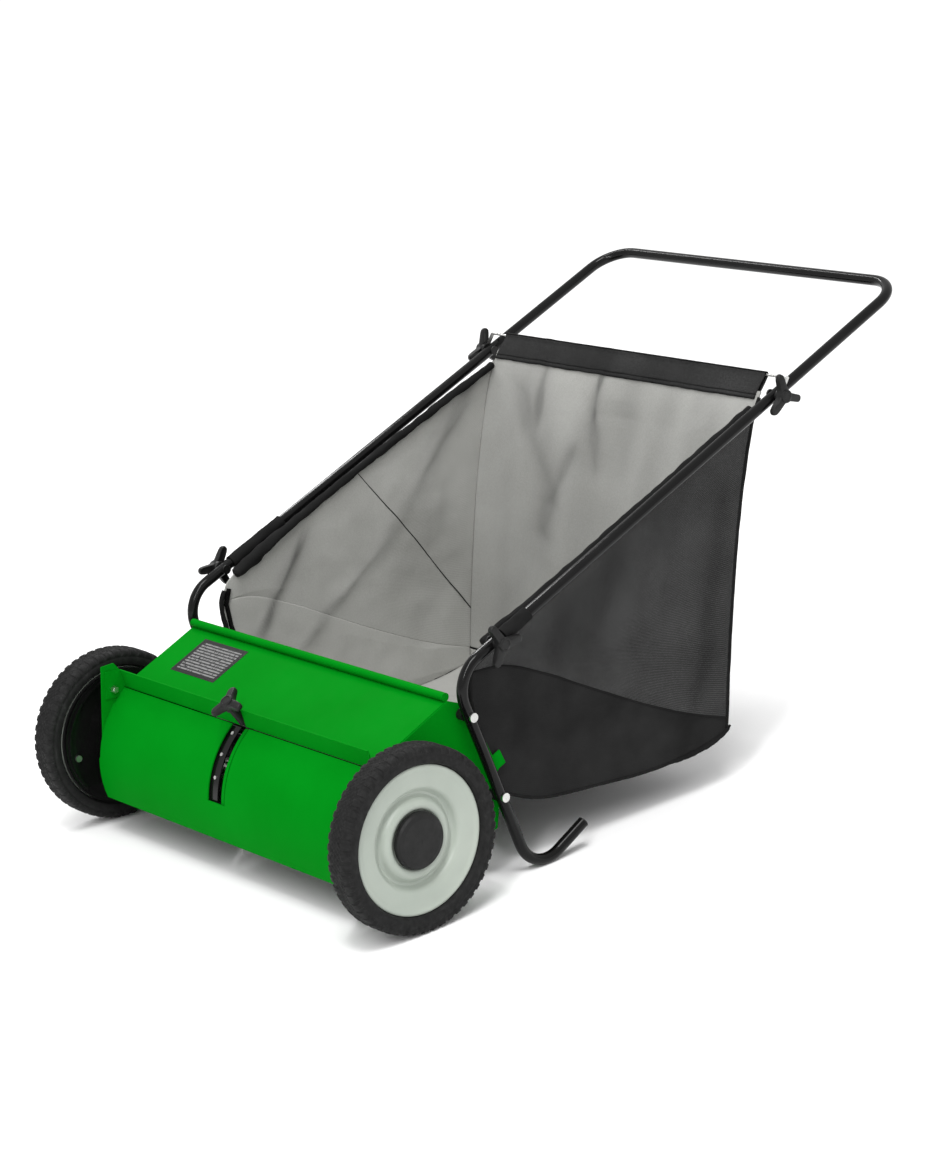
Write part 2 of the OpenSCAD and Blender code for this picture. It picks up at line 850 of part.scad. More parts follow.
module front_knob() {
    p = polar(knob_base_r, stud_angle);
    lean()
        translate([stud_x, p[0], p[1]])
            rotate([90 - stud_angle, 0, 0])
                knob(front_knob_r);
}

// A knob on the outer end of a handle bolt at side-view point p
module side_knob(side, p, base_x, turn) {
    lean()
        translate([side * base_x, p[0], p[1]])
            rotate([0, 90 * side, 0])
                rotate(turn)
                    knob(knob_r);
}

top_cover();
front_cover();
slot_guide();
index_strap();
index_rivets();
side_plate(LEFT);  // side_plate_left
side_plate(RIGHT);  // side_plate_right
rear_tie_rod();
ear_bolts();
pivot_bush(LEFT);  // pivot_bush_left
pivot_bush(RIGHT);  // pivot_bush_right
leg_tube(LEFT);  // leg_tube_left
leg_tube(RIGHT);  // leg_tube_right
foot_plugs();
tube_spacers();
frame_bolts();
mid_tube(LEFT);  // mid_tube_left
mid_tube(RIGHT);  // mid_tube_right
upper_handle();
handle_bolts();
hopper_rod();
bag_side(LEFT);  // bag_side_left
bag_side(RIGHT);  // bag_side_right
bag_back();
bag_floor();
bag_side_hems();
bag_top_hem();
bag_flap(LEFT);  // bag_flap_left
bag_flap(RIGHT);  // bag_flap_right
bag_front_frame();
axle_arm(LEFT);  // axle_arm_left
axle_arm(RIGHT);  // axle_arm_right
stub_axles();
axle_spacers();
axle_clips();
gear_cover(LEFT);  // gear_cover_left
gear_cover(RIGHT);  // gear_cover_right
gear_cover_screws();
bearing_plate(LEFT);  // bearing_plate_left
bearing_plate(RIGHT);  // bearing_plate_right
height_crossbar();
height_stud();
tyre(LEFT);  // tyre_left
tyre(RIGHT);  // tyre_right
wheel_rim(LEFT);  // wheel_rim_left
wheel_rim(RIGHT);  // wheel_rim_right
ring_gear(LEFT);  // ring_gear_left
ring_gear(RIGHT);  // ring_gear_right
hub_cap(LEFT);  // hub_cap_left
hub_cap(RIGHT);  // hub_cap_right
brush_shaft();
brush_core();
bristle_strips();
pinion(LEFT);  // pinion_left
pinion(RIGHT);  // pinion_right
front_knob();
side_knob(LEFT, lower_knob, tube_x + tube_r + 0.3, 20);  // lower_knob_left
side_knob(RIGHT, lower_knob, tube_x + tube_r + 0.3, 20);  // lower_knob_right
side_knob(LEFT, upper_knob, eye_x[1] + 0.3, 0);  // upper_knob_left
side_knob(RIGHT, upper_knob, eye_x[1] + 0.3, 0);  // upper_knob_right
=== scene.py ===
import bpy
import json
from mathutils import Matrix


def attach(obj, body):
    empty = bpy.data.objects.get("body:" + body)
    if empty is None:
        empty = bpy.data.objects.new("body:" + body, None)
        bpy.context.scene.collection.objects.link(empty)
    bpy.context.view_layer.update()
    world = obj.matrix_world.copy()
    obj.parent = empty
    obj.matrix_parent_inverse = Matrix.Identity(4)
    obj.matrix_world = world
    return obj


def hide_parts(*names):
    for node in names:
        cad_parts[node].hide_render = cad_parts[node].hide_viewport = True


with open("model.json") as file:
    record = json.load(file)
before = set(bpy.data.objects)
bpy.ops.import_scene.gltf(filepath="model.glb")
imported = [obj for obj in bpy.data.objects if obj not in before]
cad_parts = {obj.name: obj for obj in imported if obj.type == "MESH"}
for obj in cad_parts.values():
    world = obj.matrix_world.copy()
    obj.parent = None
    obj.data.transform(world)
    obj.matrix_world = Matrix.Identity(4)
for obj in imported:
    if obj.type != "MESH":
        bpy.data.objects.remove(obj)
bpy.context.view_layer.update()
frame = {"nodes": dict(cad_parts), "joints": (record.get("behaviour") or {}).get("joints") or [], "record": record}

import bpy
import bmesh
import json
import math
import random
from mathutils import Matrix, Vector, noise

random.seed(7)
nodes = frame["nodes"]
record = frame["record"]
joints = {j["name"]: j for j in frame["joints"]}

# ---------------------------------------------------------------- machine frame, as in part.scad
# Millimetres, x across, y to the rear, z up, before the part is leaned back onto its feet.
WHEEL_R = 127.0
WHEEL_X = 352.0                      # middle of each wheel
AXLE_BRUSH = 78.0                    # wheel axis to brush axis
BRUSH_DIP = math.radians(14)
brush_m = (AXLE_BRUSH * math.cos(BRUSH_DIP), WHEEL_R - AXLE_BRUSH * math.sin(BRUSH_DIP))
HA = math.radians(28.6)              # slope of the handle
HDIR = (math.cos(HA), math.sin(HA))  # along the handle
HUP = (-math.sin(HA), math.cos(HA))  # square to it, upward
LOWER = (172.0, 355.6)               # lower knob axis
TUBE_X = 312.0                       # middle of each handle tube
SIDES = (("left", -1), ("right", 1))


def lean_from_record():
    """The lean and the shift come from where the record puts the two knob axes."""
    a = joints["lower_knob_left_turn"]["pos_m"]
    b = joints["upper_knob_left_turn"]["pos_m"]
    slope = math.atan2(b[2] - a[2], b[1] - a[1])
    lean = HA - slope
    y, z = LOWER[0], LOWER[1] - WHEEL_R
    shift = y * math.cos(lean) + z * math.sin(lean) - a[1] * 1000
    return lean, shift


LEAN, SHIFT = lean_from_record()
CL, SL = math.cos(LEAN), math.sin(LEAN)


def M(x, y, z):
    """Machine-frame millimetres to row-frame metres."""
    z -= WHEEL_R
    return Vector((x, y * CL + z * SL - SHIFT, -y * SL + z * CL + WHEEL_R)) / 1000


def D(x, y, z):
    """A machine-frame direction in the row frame."""
    return Vector((x, y * CL + z * SL, -y * SL + z * CL))


def polar(r, a):
    """(y, z) at radius r from the brush axis, a degrees up from straight ahead."""
    a = math.radians(a)
    return (brush_m[0] - r * math.cos(a), brush_m[1] + r * math.sin(a))


# ---------------------------------------------------------------- camera and light
# Fitted to the photograph in the machine frame, then leaned with the part.
AZ, EL = math.radians(50.393), math.radians(11.765)
EYE = (3289, -2345, 1260.6)
FOCAL, FRAME_H, SENSOR = 3015.8, 1152, 36
back = Vector((math.sin(AZ) * math.cos(EL), -math.cos(AZ) * math.cos(EL), math.sin(EL)))
right = Vector((math.cos(AZ), math.sin(AZ), 0))
up = back.cross(right)
cam = bpy.data.objects.new("Camera", bpy.data.cameras.new("Camera"))
bpy.context.scene.collection.objects.link(cam)
bpy.context.scene.camera = cam
cam.data.sensor_width = SENSOR
cam.data.lens = FOCAL / FRAME_H * SENSOR
cam.data.shift_x, cam.data.shift_y = 0.0004, -0.0024
cam.data.clip_end = 100
turned = Matrix((D(*right), D(*up), D(*back))).transposed()
cam.matrix_world = Matrix.Translation(M(*EYE)) @ turned.to_4x4()


def area_light(name, loc, target, size, power):
    data = bpy.data.lights.new(name, "AREA")
    data.shape, data.size, data.size_y, data.energy = "RECTANGLE", size[0], size[1], power
    o = bpy.data.objects.new(name, data)
    o.location = loc
    o.rotation_euler = (Vector(target) - Vector(loc)).to_track_quat("-Z", "Y").to_euler()
    bpy.context.scene.collection.objects.link(o)


area_light("Strip", (1.5, -1.9, 2.4), (0, 0, 0.35), (0.14, 2.2), 42)
area_light("Rim_strip", (-1.9, 0.4, 2.6), (0, 0.1, 0.35), (0.16, 2.2), 26)
sun = bpy.data.objects.new("Sun", bpy.data.lights.new("Sun", "SUN"))
sun.data.energy, sun.data.angle = 1.15, math.radians(20)
sun_way = Vector((0.0, 0.05, 0.0)) - Vector((0.5, -0.35, 2.0))
sun.rotation_euler = sun_way.to_track_quat("-Z", "Y").to_euler()
bpy.context.scene.collection.objects.link(sun)
bpy.context.scene.view_settings.view_transform = "Standard"
world = bpy.data.worlds.new("Studio")
bpy.context.scene.world = world
world.use_nodes = True
world.node_tree.nodes["Background"].inputs["Color"].default_value = (1, 1, 1, 1)
world.node_tree.nodes["Background"].inputs["Strength"].default_value = 0.76


# ---------------------------------------------------------------- materials
class Mat:
    """A small builder for node materials."""

    def __init__(self, name, **sockets):
        self.m = bpy.data.materials.new(name)
        self.m.use_nodes = True
        self.t = self.m.node_tree
        self.p = self.t.nodes["Principled BSDF"]
        for k, v in sockets.items():
            self.p.inputs[k.replace("_", " ")].default_value = v

    def node(self, kind, **props):
        n = self.t.nodes.new(kind)
        for k, v in props.items():
            setattr(n, k, v)
        return n

    def link(self, a, b):
        self.t.links.new(a, b)

    def math(self, op, a, b=None, clamp=False):
        n = self.node("ShaderNodeMath", operation=op, use_clamp=clamp)
        for i, v in enumerate((a, b)):
            if v is None:
                continue
            if hasattr(v, "links"):
                self.link(v, n.inputs[i])
            else:
                n.inputs[i].default_value = v
        return n.outputs[0]

    def coords(self, kind="Object"):
        return self.node("ShaderNodeTexCoord").outputs[kind]

    def noise(self, scale, detail=3, vec=None, rough=0.5):
        n = self.node("ShaderNodeTexNoise")
        n.inputs["Scale"].default_value = scale
        n.inputs["Detail"].default_value = detail
        n.inputs["Roughness"].default_value = rough
        self.link(vec if vec is not None else self.coords(), n.inputs["Vector"])
        return n.outputs["Fac"]

    def ramp(self, fac, stops):
        n = self.node("ShaderNodeValToRGB")
        e = n.color_ramp.elements
        while len(e) < len(stops):
            e.new(0.5)
        for el, (pos, col) in zip(e, stops):
            el.position = pos
            el.color = (*col, 1) if hasattr(col, "__len__") else (col, col, col, 1)
        self.link(fac, n.inputs["Fac"])
        return n.outputs["Color"]

    def bump(self, height, strength, distance):
        n = self.node("ShaderNodeBump")
        n.inputs["Strength"].default_value = strength
        n.inputs["Distance"].default_value = distance
        self.link(height, n.inputs["Height"])
        self.link(n.outputs["Normal"], self.p.inputs["Normal"])


def green_paint():
    m = Mat("green_powder_coat", Roughness=0.45)
    m.p.inputs["Specular IOR Level"].default_value = 0.004
    m.link(m.ramp(m.noise(9, 4), [(0.3, (0.0004, 0.188, 0.0062)), (0.7, (0.0006, 0.212, 0.0080))]),
           m.p.inputs["Base Color"])
    m.link(m.ramp(m.noise(60, 3), [(0.3, 0.4), (0.75, 0.5)]), m.p.inputs["Roughness"])
    m.bump(m.noise(420, 2), 0.06, 0.0004)
    return m.m


def black_paint():
    m = Mat("black_gloss_paint", Roughness=0.2)
    m.p.inputs["Specular IOR Level"].default_value = 0.2
    m.link(m.ramp(m.noise(14, 4), [(0.3, 0.003), (0.75, 0.006)]), m.p.inputs["Base Color"])
    m.link(m.ramp(m.noise(45, 3), [(0.3, 0.13), (0.75, 0.22)]), m.p.inputs["Roughness"])
    m.bump(m.noise(500, 2), 0.05, 0.0003)
    return m.m


def zinc():
    m = Mat("zinc_plate", Metallic=1.0, Roughness=0.3)
    m.link(m.ramp(m.noise(70, 4), [(0.3, (0.5, 0.5, 0.49)), (0.7, (0.72, 0.72, 0.7))]),
           m.p.inputs["Base Color"])
    m.link(m.ramp(m.noise(160, 3), [(0.3, 0.22), (0.75, 0.42)]), m.p.inputs["Roughness"])
    m.bump(m.noise(900, 2), 0.1, 0.0002)
    return m.m


def black_plastic():
    m = Mat("moulded_black_plastic", Roughness=0.42)
    m.p.inputs["Specular IOR Level"].default_value = 0.25
    m.link(m.ramp(m.noise(30, 3), [(0.3, 0.006), (0.75, 0.011)]), m.p.inputs["Base Color"])
    m.link(m.ramp(m.noise(120, 3), [(0.3, 0.36), (0.75, 0.52)]), m.p.inputs["Roughness"])
    m.bump(m.noise(1500, 2), 0.25, 0.0002)
    return m.m


def cap_plastic():
    m = Mat("hub_cap_plastic", Roughness=0.55)
    m.p.inputs["Specular IOR Level"].default_value = 0.25
    m.link(m.ramp(m.noise(25, 4), [(0.3, 0.006), (0.75, 0.012)]), m.p.inputs["Base Color"])
    m.link(m.ramp(m.noise(160, 3), [(0.3, 0.45), (0.75, 0.65)]), m.p.inputs["Roughness"])
    m.bump(m.noise(900, 3), 0.3, 0.0003)
    return m.m


def rim_plastic():
    m = Mat("pale_rim_plastic", Roughness=0.3)
    m.link(m.ramp(m.noise(12, 4), [(0.3, (0.325, 0.365, 0.32)), (0.7, (0.375, 0.415, 0.365))]),
           m.p.inputs["Base Color"])
    m.link(m.ramp(m.noise(90, 3), [(0.3, 0.32), (0.75, 0.44)]), m.p.inputs["Roughness"])
    m.bump(m.noise(300, 2), 0.06, 0.0003)
    return m.m


def tyre_rubber():
    m = Mat("tyre_rubber", Roughness=0.75)
    m.p.inputs["Specular IOR Level"].default_value = 0.2
    m.link(m.ramp(m.noise(90, 6, rough=0.7), [(0.3, 0.005), (0.6, 0.012), (0.8, 0.035)]),
           m.p.inputs["Base Color"])
    m.link(m.ramp(m.noise(140, 3), [(0.3, 0.6), (0.75, 0.88)]), m.p.inputs["Roughness"])
    m.bump(m.noise(700, 4), 0.5, 0.0006)
    return m.m


def weave(m, pitch):
    """Thread heights of a plain weave along the UVs, which are metres of cloth."""
    bands_per_unit = math.pi / 10 / pitch
    vec = m.coords("UV")
    out = []
    for axis in ("X", "Y"):
        w = m.node("ShaderNodeTexWave", bands_direction=axis)
        w.inputs["Scale"].default_value = bands_per_unit
        m.link(vec, w.inputs["Vector"])
        out.append(w.outputs["Fac"])
    return out


def mesh_cloth(name, colour_a, colour_b, hole):
    """Open mesh: hole is how opaque the gaps between threads look, and the fold attribute of a piece
    paints shade into its creases and into soft shaded patches."""
    pitch, shade_strength = 0.0016, 0.75
    m = Mat(name, Roughness=0.8)
    m.p.inputs["Specular IOR Level"].default_value = 0.15
    a, b = weave(m, pitch)
    top = m.math("MAXIMUM", a, b)
    blotch = m.math("ADD", m.math("MULTIPLY", m.noise(9, 5), 0.6),
                    m.math("MULTIPLY", m.noise(420, 3), 0.4))
    base = m.ramp(blotch, [(0.32, colour_a), (0.7, colour_b)])
    # painted shade: the fold attribute darkens the base colour in creases and shaded patches
    att = m.node("ShaderNodeAttribute", attribute_name="fold")
    shade = m.math("SUBTRACT", 1.0, m.math("MULTIPLY", att.outputs["Fac"], shade_strength), True)
    dark = m.node("ShaderNodeVectorMath", operation="SCALE")
    m.link(base, dark.inputs[0])
    m.link(shade, dark.inputs["Scale"])
    m.link(dark.outputs[0], m.p.inputs["Base Color"])
    alpha = m.math("MULTIPLY", m.math("SUBTRACT", top, 0.35), 4.0, True)
    m.link(m.math("MAXIMUM", alpha, hole), m.p.inputs["Alpha"])
    m.bump(m.math("ADD", a, b), 0.2, 0.0004)
    return m.m


def solid_cloth(name, lo, hi):
    m = Mat(name, Roughness=0.85)
    m.p.inputs["Specular IOR Level"].default_value = 0.12
    a, b = weave(m, 0.0021)
    m.link(m.ramp(m.noise(16, 6), [(0.3, lo), (0.75, hi)]), m.p.inputs["Base Color"])
    threads = m.math("MULTIPLY", m.math("ADD", a, b), 0.25)
    h = m.math("ADD", threads, m.math("MULTIPLY", m.noise(38, 4), 1.2))
    m.bump(h, 0.3, 0.0014)
    return m.m


def bristle_mat():
    m = Mat("bristle", Roughness=0.6)
    m.link(m.ramp(m.noise(260, 3), [(0.3, 0.006), (0.75, 0.02)]), m.p.inputs["Base Color"])
    m.link(m.ramp(m.noise(90, 3), [(0.3, 0.45), (0.75, 0.7)]), m.p.inputs["Roughness"])
    m.bump(m.noise(800, 2), 0.2, 0.0003)
    return m.m


def label_mat():
    """Black sticker with grey rows of short dashes that spell nothing."""
    m = Mat("blank_label", Roughness=0.35)
    m.p.inputs["Specular IOR Level"].default_value = 0.1
    uv = m.coords("UV")
    sep = m.node("ShaderNodeSeparateXYZ")
    m.link(uv, sep.inputs[0])
    lines = 13
    rows = m.math("FRACT", m.math("MULTIPLY", sep.outputs["Y"], float(lines)))
    band = m.math("MULTIPLY", m.math("GREATER_THAN", rows, 0.22), m.math("LESS_THAN", rows, 0.80))
    mp = m.node("ShaderNodeMapping")
    mp.inputs["Scale"].default_value = (52, lines, 1)
    m.link(uv, mp.inputs["Vector"])
    dash = m.math("GREATER_THAN", m.noise(1.0, 1, mp.outputs["Vector"]), 0.40)
    inside = None
    for axis, lo, hi in (("X", 0.07, 0.93), ("Y", 0.1, 0.9)):
        v = sep.outputs[axis]
        k = m.math("MULTIPLY", m.math("GREATER_THAN", v, lo), m.math("LESS_THAN", v, hi))
        inside = k if inside is None else m.math("MULTIPLY", inside, k)
    ink = m.math("MULTIPLY", m.math("MULTIPLY", band, dash), inside)
    m.link(m.ramp(ink, [(0.0, 0.007), (1.0, 0.2)]), m.p.inputs["Base Color"])
    m.link(m.ramp(m.noise(80, 2), [(0.3, 0.3), (0.7, 0.42)]), m.p.inputs["Roughness"])
    return m.m


def floor_mat():
    m = Mat("studio_floor", Roughness=0.9)
    m.p.inputs["Specular IOR Level"].default_value = 0.0
    m.link(m.ramp(m.noise(2, 2), [(0.3, 0.97), (0.7, 0.99)]), m.p.inputs["Base Color"])
    return m.m


GREEN = green_paint()
BLACK = black_paint()
ZINC = zinc()
PLASTIC = black_plastic()
CAP = cap_plastic()
RIM = rim_plastic()
TYRE = tyre_rubber()
BRISTLE = bristle_mat()
BOOT = solid_cloth("boot_cloth", 0.010, 0.020)
LABEL = label_mat()
BINDING = solid_cloth("binding_tape", 0.006, 0.012)
# painted light: the inner faces of the dark bag cloth are painted pale grey as if lit; the outer faces keep the
# dark cloth colour
MESH_IN_PAINTED_LIT = mesh_cloth("mesh_cloth_inside_painted_lit", (0.36, 0.36, 0.34), (0.46, 0.46, 0.44), 0.80)
MESH_OUT = mesh_cloth("mesh_cloth_outside", (0.022, 0.022, 0.022), (0.060, 0.060, 0.060), 0.72)
HEM = mesh_cloth("double_mesh_hem", (0.010, 0.010, 0.010), (0.034, 0.034, 0.034), 0.9)
BOOT_IN_PAINTED_LIT = mesh_cloth("boot_inside_painted_lit", (0.36, 0.36, 0.34), (0.46, 0.46, 0.44), 1.0)
slot_material = {"green_paint": GREEN, "black_paint": BLACK, "zinc": ZINC,
                 "black_plastic": PLASTIC, "mesh_cloth": MESH_OUT, "solid_cloth": BOOT,
                 "tyre": TYRE, "rim_plastic": RIM, "bristles": BRISTLE}
for sub in record["subparts"]:
    o = nodes[sub["node"]]
    mat = slot_material[sub["material_slot"]]
    if sub["node"].startswith("hub_cap"):
        mat = CAP
    if sub["node"] in ("handle_bolts", "height_stud"):
        mat = PLASTIC
    o.data.materials.clear()
    o.data.materials.append(mat)


# ---------------------------------------------------------------- mesh helpers
def piece(name, me, materials, body, smooth=True):
    """The object of a finished mesh, riding on its body."""
    for p in me.polygons:
        p.use_smooth = smooth
    for mat in materials:
        me.materials.append(mat)
    o = bpy.data.objects.new(name, me)
    bpy.context.scene.collection.objects.link(o)
    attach(o, body)
    return o


def finish_mesh(name, bm, materials, body, smooth=True):
    bmesh.ops.recalc_face_normals(bm, faces=bm.faces)
    me = bpy.data.meshes.new(name)
    bm.to_mesh(me)
    bm.free()
    return piece(name, me, materials, body, smooth)


def grid_mesh(name, rows, materials, body, thick=0.0, closed_u=False, offset_mat=0, fold=None):
    """A grid of row-frame points rows[v][u]. UVs run in metres along it, and fold is the share of painted shade
    per point.
    """
    me = bpy.data.meshes.new(name)
    nv, nu = len(rows), len(rows[0])
    verts = [p for r in rows for p in r]
    faces = []
    for v in range(nv - 1):
        for u in range(nu if closed_u else nu - 1):
            w = (u + 1) % nu
            faces.append((v * nu + u, v * nu + w, (v + 1) * nu + w, (v + 1) * nu + u))
    me.from_pydata(verts, [], faces)
    uv = me.uv_layers.new(name="UVMap")
    mid = rows[nv // 2]
    su = [0.0]
    for a, b in zip(mid, mid[1:] + mid[:1]):
        su.append(su[-1] + (b - a).length)
    col = [r[nu // 2] for r in rows]
    sv = [0.0]
    for a, b in zip(col, col[1:]):
        sv.append(sv[-1] + (b - a).length)
    i = 0
    for v in range(nv - 1):
        for u in range(nu if closed_u else nu - 1):
            for uu, vv in ((u, v), (u + 1, v), (u + 1, v + 1), (u, v + 1)):
                uv.data[i].uv = (su[uu], sv[vv])
                i += 1
    if fold:
        me.attributes.new("fold", "FLOAT", "POINT").data.foreach_set("value", [f for r in fold for f in r])
    o = piece(name, me, materials, body)
    if thick:
        s = o.modifiers.new("thickness", "SOLIDIFY")
        s.thickness = thick
        s.offset = 0
        s.material_offset = offset_mat
        s.material_offset_rim = 0
    return o


def reworked(o, change):
    """Run change on the bmesh of a piece, then turn all its faces outward."""
    bm = bmesh.new()
    bm.from_mesh(o.data)
    change(bm)
    bmesh.ops.recalc_face_normals(bm, faces=bm.faces)
    bm.to_mesh(o.data)
    bm.free()


def lerp(a, b, t):
    return tuple(x + (y - x) * t for x, y in zip(a, b))


def spline(a, b, c, d, k):
    """Catmull-Rom between b and c."""
    cubic = (3 * b - a - 3 * c + d) * k ** 3
    return 0.5 * (2 * b + (c - a) * k + (2 * a - 5 * b + 4 * c - d) * k * k + cubic)


def along(points, t):
    """Point at share t of the length of a smooth curve through the points."""
    n = len(points)
    lens = [math.dist(points[i], points[i + 1]) for i in range(n - 1)]
    total = sum(lens)
    s = min(max(t, 0), 1) * total
    i = 0
    while i < n - 2 and s > lens[i]:
        s -= lens[i]
        i += 1
    k = s / lens[i]
    p0 = points[max(i - 1, 0)]
    p1, p2 = points[i], points[i + 1]
    p3 = points[min(i + 2, n - 1)]
    return tuple(spline(a, b, c, d, k) for a, b, c, d in zip(p0, p1, p2, p3))


def coons(bottom, top, start, end, u, v):
    """Point of the smooth patch between four edge curves."""
    b, t, l, r = along(bottom, u), along(top, u), along(start, v), along(end, v)
    c00, c10, c01, c11 = bottom[0], bottom[-1], top[0], top[-1]
    out = []
    for i in range(len(b)):
        ruled = (1 - v) * b[i] + v * t[i] + (1 - u) * l[i] + u * r[i]
        corner = ((1 - u) * (1 - v) * c00[i] + u * (1 - v) * c10[i] + (1 - u) * v * c01[i]
                  + u * v * c11[i])
        out.append(ruled - corner)
    return tuple(out)


def inward(u, v):
    """0 on the edges of a panel, 1 from a sixth of the way in."""
    return min(1.0, 6 * min(u, 1 - u), 6 * min(v, 1 - v))


def halved(points):
    """The same outline with a point added in the middle of each stretch."""
    fine = []
    for a, b in zip(points, points[1:]):
        fine += [a, lerp(a, b, 0.5)]
    return fine


def tube_mesh(name, path, radius, mat, body, slot, sides=12, wobble=0.0, seed=0):
    """A round cord or rolled edge along row-frame points; radius may be a function of the share."""
    rows = []
    n = len(path)
    for i, p in enumerate(path):
        t = (path[min(i + 1, n - 1)] - path[max(i - 1, 0)]).normalized()
        a = t.cross(Vector((0, 0, 1)) if abs(t.z) < 0.9 else Vector((0, 1, 0))).normalized()
        b = t.cross(a)
        r = radius(i / (n - 1)) if callable(radius) else radius
        ring = []
        for k in range(sides):
            w = 2 * math.pi * k / sides
            at = Vector((i * 0.35 + seed, math.cos(w) * 1.5, math.sin(w) * 1.5))
            rr = r * (1 + wobble * noise.noise(at))
            ring.append(p + (a * math.cos(w) + b * math.sin(w)) * rr)
        rows.append(ring)
    rows = [[path[0]] * sides] + rows + [[path[-1]] * sides]
    o = grid_mesh(name, rows, [mat], body, closed_u=True)
    reworked(o, lambda bm: bmesh.ops.remove_doubles(bm, verts=bm.verts, dist=1e-7))
    return o


# ---------------------------------------------------------------- bag
# Profiles are (y, z) in the machine frame; those with _BY differ between left (-1) and right (1).
HANG = 9.0                           # the hem's usual drop below the tube's axis


def on_hem(s, drop=HANG):
    """Point s along the handle from the lower knob, drop below the tube's axis."""
    return (LOWER[0] + s * HDIR[0] - drop * HUP[0], LOWER[1] + s * HDIR[1] - drop * HUP[1])


FRONT = [(208, 140), (196, 180), (178, 226), (160, 272), (152, 305), (157, 328)]
REAR = [(629, 158), (631, 250), (636, 350), (643, 440), (655, 530), (668, 596), (682, 632)]
UNDER = [(208, 140), (275, 118), (383, 117), (480, 120), (560, 131), (616, 146), (629, 158)]
BOOT_LINE = [(153, 312), (210, 313), (285, 290), (347, 265), (430, 232), (499, 207), (560, 188),
             (630.5, 172)]
TOP_BY = {1: [(157, 328), on_hem(6), on_hem(150), on_hem(300), on_hem(450), on_hem(560), (682, 632)],
          -1: [(157, 328), on_hem(6, 5), on_hem(150, -1.5), on_hem(300, -1), on_hem(450, 2),
               on_hem(560, 6), (682, 632)]}
HEM_BY = {1: [on_hem(0), on_hem(200), on_hem(400), on_hem(562)],
          -1: [on_hem(0, 4), on_hem(140, -1.5), on_hem(300, -1), on_hem(450, 2), on_hem(562, 6)]}
HEM_R = {1: 0.0050, -1: 0.0060}      # radius of the rolled hem, m
BAGX = 289.2                         # half the bag's width
FRONT_BY = {-1: FRONT, 1: [(199, 140), (184, 180), (165, 226), (151, 272), (149, 305), (157, 328)]}


def part_of(points, t0, t1, n=9):
    """The stretch of a curve from share t0 to share t1."""
    return [along(points, t0 + (t1 - t0) * i / (n - 1)) for i in range(n)]


def nearest(points, q, n=400):
    """Share at which a curve comes nearest to q."""
    return min((math.dist(along(points, i / n), q), i / n) for i in range(n + 1))[1]


f_boot = {k: nearest(v, BOOT_LINE[0]) for k, v in FRONT_BY.items()}
r_boot = nearest(REAR, BOOT_LINE[-1])
UNDER_BY = {k: [v[0]] + UNDER[1:] for k, v in FRONT_BY.items()}
LINE_BY = {k: [along(v, f_boot[k])] + BOOT_LINE[1:-1] + [along(REAR, r_boot)] for k, v in FRONT_BY.items()}


# Creases from (a, b) to (c, d), with width, depth and the strength of the painted shade along them.
# A side (-1 left, 1 right) has (y, z) and the back (0) has (x, z).
CREASES = {
    -1: [(298, 387, 223, 256, 5, 6, 0.95), (640, 604, 529, 463, 9, 6, 0.6),
         (529, 463, 440, 350, 14, 5, 0.25), (428, 339, 303, 227, 7, 5, 0.38),
         (560, 420, 470, 300, 26, 6, 0.18), (610, 330, 520, 210, 22, -5, 0.12)],
    1: [(471, 593, 363, 312, 20, -5, 0.45), (618, 520, 575, 221, 15, 5, 0.5),
        (603, 290, 560, 195, 9, 4, 0.45), (330, 420, 300, 290, 16, 4, 0.25),
        (540, 560, 500, 330, 18, 4, 0.2)],
    0: [(-164, 648, -163, 540, 7, 7, 0.5), (-39, 640, -42, 560, 4, 6, 0.75),
        (-42, 560, -27, 480, 9, 6, 0.4), (-225, 600, -114, 439, 16, 7, 0.32),
        (-68, 518, -113, 432, 9, 5, 0.4), (-114, 439, -134, 367, 15, 6, 0.42),
        (-134, 367, -228, 193, 30, 7, 0.25), (-205, 640, -190, 520, 14, 5, 0.22),
        (40, 640, 20, 480, 26, 6, 0.22), (120, 640, 90, 420, 24, 6, 0.2),
        (215, 640, 190, 380, 20, 6, 0.25), (-20, 430, -60, 230, 30, 7, 0.2)],
}


def crease(which, a, b):
    """Depth in mm of all the creases at one point of a panel, and the painted shade they get."""
    deep = dark = 0.0
    for a0, b0, a1, b1, width, depth, painted_shade in CREASES[which]:
        da, db = a1 - a0, b1 - b0
        t = ((a - a0) * da + (b - b0) * db) / (da * da + db * db)
        d = math.hypot(a - a0 - t * da, b - b0 - t * db)
        fade = math.exp(-(max(0.0, abs(t - 0.5) - 0.3) / 0.26) ** 2)
        bent = d + 3 * math.sin(6 * t + width)
        k = math.exp(-(bent / width) ** 2) * fade
        wide = math.exp(-(d / (2.4 * width)) ** 2) * fade
        deep += 0.3 * depth * (k + wide)
        # painted shade darkens the cloth along each crease
        dark = 1 - (1 - dark) * (1 - painted_shade * (0.45 * k + 0.4 * wide))
    return deep, dark


def side_wave(side, y, z):
    """How far the cloth stands out of its plane, mm, + outward: soft folds and a little sag."""
    big = 4.0 * noise.noise(Vector((y * 0.006 + side * 3, z * 0.008, 1.3)))
    fold = 2.0 * math.sin((y * 0.8 + z * 0.62) * 0.018 + side)
    fine = 1.2 * noise.noise(Vector((y * 0.03, z * 0.03, 4.0 + side)))
    return big + fold + fine - 2.0 - crease(side, y, z)[0]


